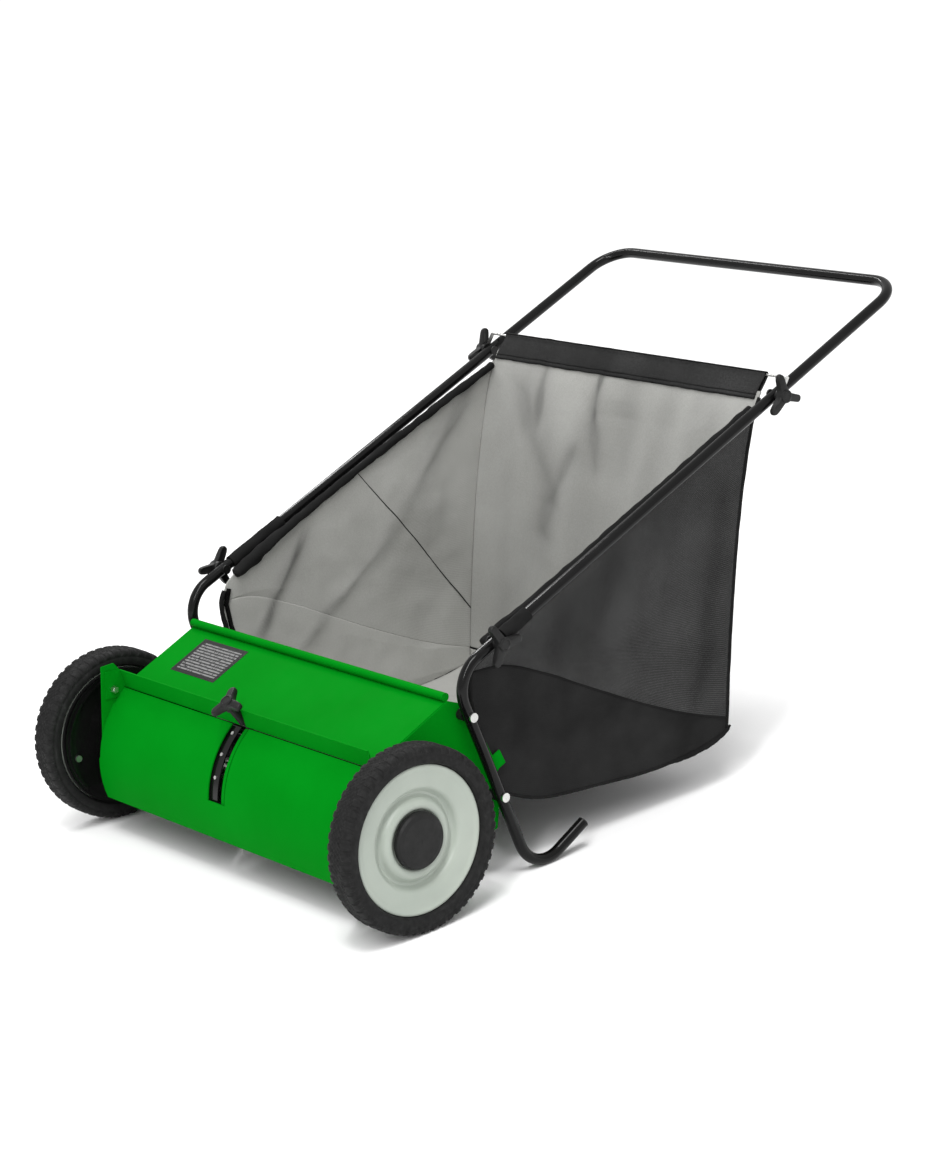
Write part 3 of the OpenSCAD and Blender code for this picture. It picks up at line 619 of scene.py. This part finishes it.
def side_panel(name, side, lower, upper, fore, aft, materials, nu=170, nv=120):
    """One side of the bag between four edge curves, waving out of its plane away from the edges."""
    rows, fold = [], []
    for j in range(nv + 1):
        v = j / nv
        row, painted_shade = [], []
        for i in range(nu + 1):
            u = i / nu
            y, z = coons(lower, upper, fore, aft, u, v)
            row.append(M(side * (BAGX + inward(u, v) * side_wave(side, y, z)), y, z))
            # painted shade: soft patches from noise, stronger on the right side, added to the crease shade
            shade_noise = noise.noise(Vector((y * 0.012 + 9 * side, z * 0.007, 2.0)))
            shade = 0.5 * max(0.0, shade_noise) ** 1.5
            painted_shade.append(min(1.0, crease(side, y, z)[1] + (shade if side > 0 else shade * 0.4)))
        rows.append(row)
        fold.append(painted_shade)
    if side < 0:
        rows = [r[::-1] for r in rows]
        fold = [r[::-1] for r in fold]
    return grid_mesh(name, rows, materials, "frame", thick=0.0012, offset_mat=1, fold=fold)


for tag, side in SIDES:
    front, seam_at = FRONT_BY[side], f_boot[side]
    # painted light: the left boot's inner face is pale as if lit; the right one keeps the dark cloth
    lining = BOOT_IN_PAINTED_LIT if side < 0 else BOOT
    side_panel(
        "bag_mesh_side_" + tag, side, LINE_BY[side], TOP_BY[side], part_of(front, seam_at, 1),
        part_of(REAR, r_boot, 1), [MESH_OUT, MESH_IN_PAINTED_LIT])
    side_panel(
        "bag_boot_side_" + tag, side, UNDER_BY[side], LINE_BY[side], part_of(front, 0, seam_at),
        part_of(REAR, 0, r_boot), [BOOT, lining], nu=110, nv=50)

BACK_HALF = 288                      # the drapes of the back fade out toward this


def back_wave(x, z, t):
    """Drapes of the back panel, mm along +y."""
    across = 5 * min((x + BACK_HALF) / (2 * BACK_HALF), (BACK_HALF - x) / (2 * BACK_HALF))
    edge = max(0.0, min(1.0, across, 9 * (0.955 - t), 8 * (t - r_boot)))
    drape = 5.0 * math.sin(x * 0.021 + 1.0 + 0.5 * t) + 3.0 * math.sin(x * 0.047 + 2.2 - 1.1 * t)
    fine = 2.0 * noise.noise(Vector((x * 0.012, t * 5, 2.0)))
    return edge * (drape + fine + crease(0, x, z)[0])


def back_panel(name, t0, materials, nu=190, nv=150):
    """The back of the bag from share t0 of the rear profile up to the top hem."""
    rows, fold = [], []
    profile = REAR + [(686.0, 640)]
    for j in range(nv + 1):
        t = t0 + (1 - t0) * j / nv
        y, z = along(profile, t)
        row, painted_shade = [], []
        for i in range(nu + 1):
            x = -BAGX + 2 * BAGX * i / nu
            row.append(M(x, y + back_wave(x, z, t), z))
            # painted shade: soft patches from noise, the crease shade and an even 0.17 darkening of the whole back
            shade_noise = noise.noise(Vector((x * 0.014, z * 0.003, 5.0)))
            shade = 0.35 * max(0.0, shade_noise) ** 1.5
            painted_shade.append(min(1.0, 0.17 + crease(0, x, z)[1] + shade))
        rows.append(row[::-1])
        fold.append(painted_shade[::-1])
    return grid_mesh(name, rows, materials, "frame", thick=0.0012, offset_mat=1, fold=fold)


back_panel("bag_mesh_back", r_boot, [MESH_OUT, MESH_IN_PAINTED_LIT])


def boot_floor():
    """The boot's underside and the low strip behind it, up to the back panel."""
    path = UNDER + [along(REAR, r_boot * k / 3) for k in (1, 2, 3)]
    nu, nv = 90, 80
    rows = []
    for j in range(nv + 1):
        t = j / nv
        y, z = along(path, t)
        row = []
        for i in range(nu + 1):
            x = -BAGX + 2 * BAGX * i / nu
            edge = inward(i / nu, t)
            big = 6.0 * noise.noise(Vector((x * 0.008, t * 4, 7.0)))
            small = 2.5 * noise.noise(Vector((x * 0.03, t * 16, 3)))
            w = edge * (big + small + 2)
            row.append(M(x, y + edge * (3 if t > 0.9 else 0), z + w))
        rows.append(row[::-1])
    return grid_mesh("bag_boot_floor", rows, [BOOT, BOOT_IN_PAINTED_LIT], "frame",
                     thick=0.0012, offset_mat=1)


boot_floor()


def cord(name, path, radius, **how):
    """A welt, seam or binding of tape on the bag."""
    return tube_mesh(name, path, radius, BINDING, "frame", "solid_cloth", **how)


def edge_path(points, x, n=60):
    """Row-frame points along a profile in the plane at x."""
    return [M(x, *along(points, i / n)) for i in range(n + 1)]


def roll_radius(t):
    """The roll swells in the middle and runs out thin at its front end."""
    return 0.0018 + 0.0026 * math.sin(math.pi * min(1, t * 1.05)) ** 0.7


REAR_LINE = along(REAR, r_boot)
rear_seam = cord("bag_boot_seam_rear",
                 [M(-BAGX + 2 * BAGX * i / 80, REAR_LINE[0] + 0.6, REAR_LINE[1]) for i in range(81)],
                 0.0019, wobble=0.3, seed=3)
# the roll under the rear corner reaches past the corner on the right only
ROLL_END = {-1: [(618, 147), (628, 155)], 1: [(628, 152), (636, 160)]}


def side_trim(side, tag):
    """Front binding, two welts, corner roll, side hem and boot seam, in this order."""
    x = side * BAGX
    out = x if side > 0 else x - 2.6
    rear_r = 0.0028 if side > 0 else 0.0009
    seam_r = 0.0018 if side > 0 else 0.001
    roll = [(520, 124), (560, 130), (600, 140)] + ROLL_END[side]
    pieces = []
    for name, points, radius, at in (("front_binding", FRONT_BY[side], 0.0036, x),
                                     ("rear_welt", REAR, rear_r, x),
                                     ("under_welt", UNDER_BY[side], 0.0024, out),
                                     ("corner_roll", roll, roll_radius, out)):
        pieces.append(cord(f"bag_{name}_{tag}", edge_path(points, at), radius,
                           wobble=0.25, seed=side))
    pieces.append(cord(f"bag_side_hem_{tag}", edge_path(HEM_BY[side], side * (BAGX - 6), 90),
                       lambda t: HEM_R[side] + 0.0034 * math.exp(-((t - 0.08) / 0.09) ** 2),
                       wobble=0.35, seed=5 * side))
    pieces.append(cord(f"bag_boot_seam_{tag}", edge_path(LINE_BY[side], out, 70), seam_r, wobble=0.2))
    return pieces


trim = {tag: side_trim(side, tag) for tag, side in SIDES}

# the seam seen inside the left side, from the hem to the rear edge
seam = []
for i in range(41):
    y, z = lerp((402, 481), (630, 236), i / 40)
    k = min(1.0, i / 5, (40 - i) / 5)
    seam.append(M(-(BAGX + k * side_wave(-1, y, z)) + 0.5, y, z))
trim["left"].append(tube_mesh("bag_side_seam_left", seam, 0.0009, HEM, "frame", "mesh_cloth",
                              sides=8, wobble=0.3))

# top hem: two layers of mesh round the rod
ROD = (703.0, 662.0)
HEM_X0, HEM_W = -286, 568            # its left end and its length


def top_hem():
    """Section turned over the rod and swept along it; the cloth sags away from the rod."""
    prof = [(681.0, 630.0), (683.5, 634.5), (688.0, 643), (694.5, 653), (699.0, 660), (700.2, 664.2),
            (703, 666.4), (706, 665.2), (707, 661.5), (704.5, 656.5), (699.5, 648), (693, 638),
            (688.0, 630.0)]
    nu, nv = 120, 44
    rows = []
    for j in range(nv + 1):
        y, z = along(prof, j / nv)
        k = min(1.0, math.hypot(y - ROD[0], z - ROD[1]) / 30)
        row = []
        for i in range(nu + 1):
            x = HEM_X0 + HEM_W * i / nu
            w = k * 1.6 * noise.noise(Vector((x * 0.02, j * 0.05, 9)))
            row.append(M(x, y - 2.2 * k + w, z + 1.2 * k * noise.noise(Vector((x * 0.03, 2, 1)))))
        rows.append(row)
    return grid_mesh("bag_top_hem_cloth", rows, [HEM], "frame", thick=0.0008)


top_hem()
for nm, y, z, r in (("low", 678.6, 630.4, 0.0016), ("stitch", 681.4, 636.0, 0.0008),
                    ("edge", 700.6, 666.0, 0.0010)):
    pts = []
    for i in range(121):
        x = HEM_X0 + HEM_W * i / 120
        dip = 1.2 * noise.noise(Vector((x * 0.03, 2, 1)))
        pts.append(M(x, y + 0.8 * noise.noise(Vector((x * 0.02, 0.1, 9))), z + dip))
    cord("bag_top_hem_" + nm, pts, r, sides=8, wobble=0.4)


# ---------------------------------------------------------------- flaps
FLAP_R = 9.6


def flap(side, tag, s0, s1):
    """Cloth round the tube from s0 to s1 above the lower knob, and its tail in to the side hem."""
    rows = []
    n, ring, tail = 48, 28, 6
    first, sweep = -118, 296         # degrees round the tube
    fall = 9 if side > 0 else 4
    for j in range(n + 1):
        s = s0 + (s1 - s0) * j / n
        c = (LOWER[0] + s * HDIR[0], LOWER[1] + s * HDIR[1])
        row = []
        for k in range(ring + 1):
            a = math.radians(first + sweep * k / ring)
            at = Vector((s * 0.08, math.cos(a) * 1.3, math.sin(a) * 1.3 + side))
            rr = FLAP_R + 0.9 * noise.noise(at)
            lift = rr * math.cos(a)
            out = rr * math.sin(a) * side
            row.append(M(side * TUBE_X + out, c[0] + lift * HUP[0], c[1] + lift * HUP[1]))
        for k in range(1, tail + 1):
            t = k / tail
            x = side * (TUBE_X - FLAP_R - t * (TUBE_X - FLAP_R - BAGX))
            drop = -4 - fall * t
            row.append(M(x, c[0] + drop * HUP[0], c[1] + drop * HUP[1]))
        rows.append(row if side > 0 else row[::-1])
    o = grid_mesh("bag_flap_cloth_" + tag, rows, [BINDING], "frame", thick=0.0011)
    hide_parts("bag_flap_" + tag)
    return o


flap(-1, "left", 16, 122)
flap(1, "right", 14, 64)

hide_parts("bag_side_left")
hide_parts("bag_side_right")
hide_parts("bag_back")
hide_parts("bag_floor")
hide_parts("bag_top_hem")
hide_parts("bag_side_hems")


# ---------------------------------------------------------------- tyres with knobbly tread
def tyre(tag, side):
    """Tyre section turned round the wheel, with knobs on the tread and notches on the shoulders."""
    cx = side * WHEEL_X
    h = 22.0                         # half its width
    prof = [(-h + 7, 100.8), (-h + 4, 102), (-h + 1.5, 105), (-h + 0.4, 109), (-h + 0.2, 113),
            (-h + 1.2, 116), (-h + 1.0, 118), (-h + 1.6, 120.5), (-h + 3.2, 123), (-h + 6, 124.6),
            (-h + 9, 125.2), (-h + 13, 125.5), (-h + 17, 125.6), (0, 125.6), (h - 17, 125.6),
            (h - 13, 125.5), (h - 9, 125.2), (h - 6, 124.6), (h - 3.2, 123), (h - 1.6, 120.5),
            (h - 1.0, 118), (h - 1.2, 116), (h - 0.2, 113), (h - 0.4, 109), (h - 1.5, 105),
            (h - 5, 102.4), (h - 8, 101.6)]
    lugs, per = 54, 12               # knobs round the shoulder, points for each
    tread_r, shoulder, rib = 117, 9, 4.2
    n = lugs * per
    centre = M(cx, 0, WHEEL_R)
    rows = []
    for x, r in halved(prof) + [prof[-1]]:
        row = []
        ax = abs(x)
        for k in range(n):
            w = 2 * math.pi * k / n
            ph = (k / per) % 1
            shift = 0.5 if x > 0 else 0.0
            p = (ph + shift) % 1
            lift = 0.0
            if r > tread_r and ax > shoulder:
                lift = 1.0 if 0.16 < p < 0.74 else 0.0
            elif r > tread_r:
                q = (ph * 2 + (0.5 if int(x // rib) % 2 else 0)) % 1
                lift = 0.8 if 0.2 < q < 0.8 else 0.0
                if abs((x % rib) - rib / 2) > 1.8:
                    lift = 0.0
            out_x = (x / h) * lift * (0.9 if r < 124 else 0)
            out_r = lift * 1.4
            rr = min(r + out_r, WHEEL_R)
            xx = max(-h, min(h, x + out_x))
            row.append(centre + Vector((xx, rr * math.cos(w), rr * math.sin(w))) / 1000)
        rows.append(row)
    o = grid_mesh("tyre_tread_" + tag, rows, [TYRE], "wheel_" + tag, closed_u=True)
    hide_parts("tyre_" + tag)
    reworked(o, lambda bm: bmesh.ops.bridge_loops(bm, edges=[e for e in bm.edges if e.is_boundary]))
    for p in o.data.polygons:
        p.use_smooth = True
    o.modifiers.new("edge", "EDGE_SPLIT").split_angle = math.radians(38)


for tag, side in SIDES:
    tyre(tag, side)

# (radius, out from the wheel's middle) of the disc; the closed outline starts behind the tyre
RIM_FACE = [(97, -18), (101, -18), (101, 12.6), (100.6, 14.2), (98.8, 15.0), (96.4, 14.6), (93, 13.2),
            (86, 12.4), (74, 11.2), (70, 10.2), (67.2, 7.4), (65, 3.2), (62.6, 1.0), (59.6, 0.7),
            (57, 2.4), (54.6, 6.4), (52, 9.2), (48.5, 10.6), (44, 10.6), (41.4, 9.4), (40, 7.4),
            (39.2, 4.0), (8.3, 4.0), (8.3, -20), (16, -20), (16, 1.0), (40, 1.0), (54, 0.0),
            (58, -2.2), (65, -2.4), (70, 2.0), (92, 6.0), (97, 6.0), (97, -18)]
OUTER_FACE = range(2, 43)            # bands that are pale; the rest of the disc is dark


def rim(tag, side):
    """The pressed disc of the wheel; its face to the machine is dark."""
    n = 180
    centre = M(side * WHEEL_X, 0, WHEEL_R)
    bm = bmesh.new()
    rings = []
    for r, x in halved(RIM_FACE):
        ring = []
        for k in range(n):
            w = 2 * math.pi * k / n
            ring.append(bm.verts.new(centre + Vector((side * x, r * math.cos(w), r * math.sin(w))) / 1000))
        rings.append(ring)
    for i, ring in enumerate(rings):
        nxt = rings[(i + 1) % len(rings)]
        for k in range(n):
            f = bm.faces.new((ring[k], ring[(k + 1) % n], nxt[(k + 1) % n], nxt[k]))
            f.material_index = 0 if i in OUTER_FACE else 1
    o = finish_mesh("wheel_disc_" + tag, bm, [RIM, CAP], "wheel_" + tag)
    o.modifiers.new("edge", "EDGE_SPLIT").split_angle = math.radians(35)
    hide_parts("wheel_rim_" + tag)


for tag, side in SIDES:
    rim(tag, side)


# ---------------------------------------------------------------- knobs
def knob_outline(radius, n=120):
    """Three round-ended arms that blend into the hub."""
    arm_half, taper, tip, blend = 6.4, 1.0, 5.4, 2.4

    def dist(x, y):
        total = 0.0
        for k in range(3):
            a = math.radians(90 + 120 * k)
            ax, ay = math.cos(a), math.sin(a)
            t = max(0.0, min(radius - tip, x * ax + y * ay))
            width = arm_half - taper * t / radius
            total += math.exp(-(math.hypot(x - t * ax, y - t * ay) - width) / blend)
        return -blend * math.log(total)
    out = []
    for i in range(n):
        a = 2 * math.pi * i / n
        lo, hi = 0.0, radius + 6
        for _ in range(30):
            mid = (lo + hi) / 2
            if dist(mid * math.cos(a), mid * math.sin(a)) < 0:
                lo = mid
            else:
                hi = mid
        out.append((lo * math.cos(a), lo * math.sin(a), lo))
    return out


def knob(name, body, pos, axis, turn, radius, node, sleeve=0.0):
    """Knob standing on pos along axis. Layers are (height, inset) and the hub (radius, height) in mm."""
    out = knob_outline(radius)
    z = Vector(axis).normalized()
    x = Vector((0, 0, 1)).cross(z)
    x = (x if x.length > 0.1 else Vector((1, 0, 0))).normalized()
    y = z.cross(x)
    layers = [(5.2, 3.2), (4.6, 1.6), (5.0, 0.5), (6.4, 0.0), (12.0, 0.0), (14.6, 0.6), (15.8, 1.8),
              (16.2, 3.4)]
    bm = bmesh.new()
    rings = []

    def place(px, py, h):
        c, s = math.cos(turn), math.sin(turn)
        qx, qy = px * c - py * s, px * s + py * c
        return Vector(pos) + (x * qx + y * qy + z * h) / 1000
    for h, inset in layers:
        ring = []
        for px, py, r in out:
            k = max(0.05, (r - inset) / r)
            droop = 2.2 * (r / radius) ** 2
            ring.append(bm.verts.new(place(px * k, py * k, h - (droop if h > 8 else -0.8 * droop))))
        rings.append(ring)
    n = len(out)
    for a, b in zip(rings, rings[1:]):
        for i in range(n):
            bm.faces.new((a[i], a[(i + 1) % n], b[(i + 1) % n], b[i]))
    for ring, h in ((rings[0], 5.4), (rings[-1], 16.6)):
        c = bm.verts.new(place(0, 0, h))
        for i in range(n):
            bm.faces.new((ring[i], ring[(i + 1) % n], c))
    # collar and crown of the hub
    foot = [(0, -sleeve), (7.0, -sleeve), (7.4, 0.4 - sleeve), (7.4, -1.0)] if sleeve else [(0, 0.2)]
    prof = foot + [(8.8, 0.2), (9.6, 1.0), (9.9, 5.8), (9.9, 15.8), (9.2, 17.4), (7.2, 17.9),
                   (6.4, 16.9), (0, 16.9)]
    prev = None
    m = 40
    for r, h in prof:
        if r == 0:
            ring = [bm.verts.new(place(0, 0, h))]
        else:
            turns = [2 * math.pi * i / m for i in range(m)]
            ring = [bm.verts.new(place(r * math.cos(w), r * math.sin(w), h)) for w in turns]
        if prev:
            for i in range(m):
                a, b = prev[i % len(prev)], prev[(i + 1) % len(prev)]
                c, d = ring[(i + 1) % len(ring)], ring[i % len(ring)]
                bm.faces.new([v for k, v in enumerate((a, b, c, d)) if v not in (a, b, c, d)[:k]])
        prev = ring
    o = finish_mesh(name, bm, [PLASTIC], body)
    o.modifiers.new("edge", "EDGE_SPLIT").split_angle = math.radians(40)
    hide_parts(node)


# base is how far out each knob starts, turn how far round it stands
for tag, side in SIDES:
    for which, base, turn in (("lower", 318.0, 0.35), ("upper", 319.5, 0.0)):
        j = joints[f"{which}_knob_{tag}_turn"]
        pos = Vector((side * base / 1000, j["pos_m"][1], j["pos_m"][2]))
        knob(f"{which}_wing_knob_{tag}", f"{which}_knob_{tag}", pos, (side, 0, 0), turn + 0.2, 33,
             f"{which}_knob_{tag}")
jf = joints["front_knob_turn"]
knob("front_wing_knob", "front_knob", jf["pos_m"], jf["axis"], 0.5, 28, "front_knob", sleeve=29.0)


# ---------------------------------------------------------------- bristles
def bristles():
    """Four strips of three staggered rows; each bristle is a thin three-sided spike."""
    bm = bmesh.new()
    half, pitch, c = 279.0, 2.9, brush_m
    for k in range(4):
        a0 = math.radians(45 + 90 * k)
        for row in range(3):
            x = -half
            while x < half:
                a = a0 + math.radians((row - 1) * 5.5 + random.uniform(-1.6, 1.6))
                tip = random.uniform(79.0, 81.9)
                lean_x = random.uniform(-2.5, 2.5)
                r0, r1, w = 18.0, tip, 1.1
                base = [(x - w, -w), (x + w, -w), (x, w)]
                vs = []
                for r, sc in ((r0, 1.0), ((r0 + r1) / 2, 0.95), (r1, 0.5)):
                    f = (r - r0) / (r1 - r0)
                    ring = []
                    for bx, by in base:
                        px = x + (bx - x) * sc + lean_x * f
                        t = by * sc + (row - 1) * 3.2 * (1 - f)
                        py = c[0] + r * math.cos(a) - t * math.sin(a)
                        pz = c[1] + r * math.sin(a) + t * math.cos(a)
                        ring.append(bm.verts.new(M(px, py, pz)))
                    vs.append(ring)
                for p, q in zip(vs, vs[1:]):
                    for i in range(3):
                        bm.faces.new((p[i], p[(i + 1) % 3], q[(i + 1) % 3], q[i]))
                bm.faces.new(vs[0])
                bm.faces.new(vs[-1])
                x += pitch
    o = finish_mesh("bristle_tufts", bm, [BRISTLE], "brush", smooth=False)
    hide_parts("bristle_strips")


bristles()


def slot_strip():
    """The guide strip as seen through the slot, its edge nearest the strap turned in."""
    section = [(7.4, 131.0), (7.4, 136.3), (7.9, 136.8), (13.2, 136.8), (13.7, 136.3), (13.9, 131.0),
               (12.4, 131.0), (12.2, 135.4), (8.8, 135.4), (8.7, 131.0)]
    steps = 60
    first, sweep = -6.5, 53.0        # degrees up from straight ahead
    rows = []
    for i in range(steps + 1):
        a = first + sweep * i / steps
        rows.append([M(x, *polar(r, a)) for x, r in section])
    o = grid_mesh("slot_guide_strip", rows, [GREEN], "frame", closed_u=True)
    n = len(section)

    def close_ends(bm):
        bm.verts.ensure_lookup_table()
        bm.faces.new([bm.verts[k] for k in range(n)])
        bm.faces.new([bm.verts[steps * n + k] for k in range(n)][::-1])
    reworked(o, close_ends)
    o.modifiers.new("edge", "EDGE_SPLIT").split_angle = math.radians(35)
    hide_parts("slot_guide")


slot_strip()


# ---------------------------------------------------------------- label on the top plate
def label():
    """A thin sticker on the plate, which starts at v0 and rises along d with normal n."""
    v0 = polar(139.3, 47.8)
    slope = math.radians(29.5)
    d = (math.cos(slope), math.sin(slope))
    n = (-d[1], d[0])
    me = bpy.data.meshes.new("label")
    bm = bmesh.new()
    uv = bm.loops.layers.uv.new("UVMap")
    lo, hi = 1.05, 1.35              # heights of its two faces along n
    corners = ((-241, 52), (-134, 52), (-134, 124), (-241, 124))
    ring = []
    for h in (lo, hi):
        ring.append([bm.verts.new(M(x, v0[0] + s * d[0] + h * n[0], v0[1] + s * d[1] + h * n[1]))
                     for x, s in corners])
    top = bm.faces.new(ring[1])
    for loop, q in zip(top.loops, ((0, 0), (1, 0), (1, 1), (0, 1))):
        loop[uv].uv = q
    bm.faces.new(ring[0][::-1])
    for i in range(4):
        bm.faces.new((ring[0][i], ring[0][(i + 1) % 4], ring[1][(i + 1) % 4], ring[1][i]))
    bm.to_mesh(me)
    bm.free()
    piece("blank_label", me, [LABEL], "frame", smooth=False)


label()


# ---------------------------------------------------------------- floor
me = bpy.data.meshes.new("floor")
me.from_pydata([(-60, -60, 0), (60, -60, 0), (60, 60, 0), (-60, 60, 0)], [], [(0, 1, 2, 3)])
me.materials.append(floor_mat())
floor = bpy.data.objects.new("floor", me)
bpy.context.scene.collection.objects.link(floor)
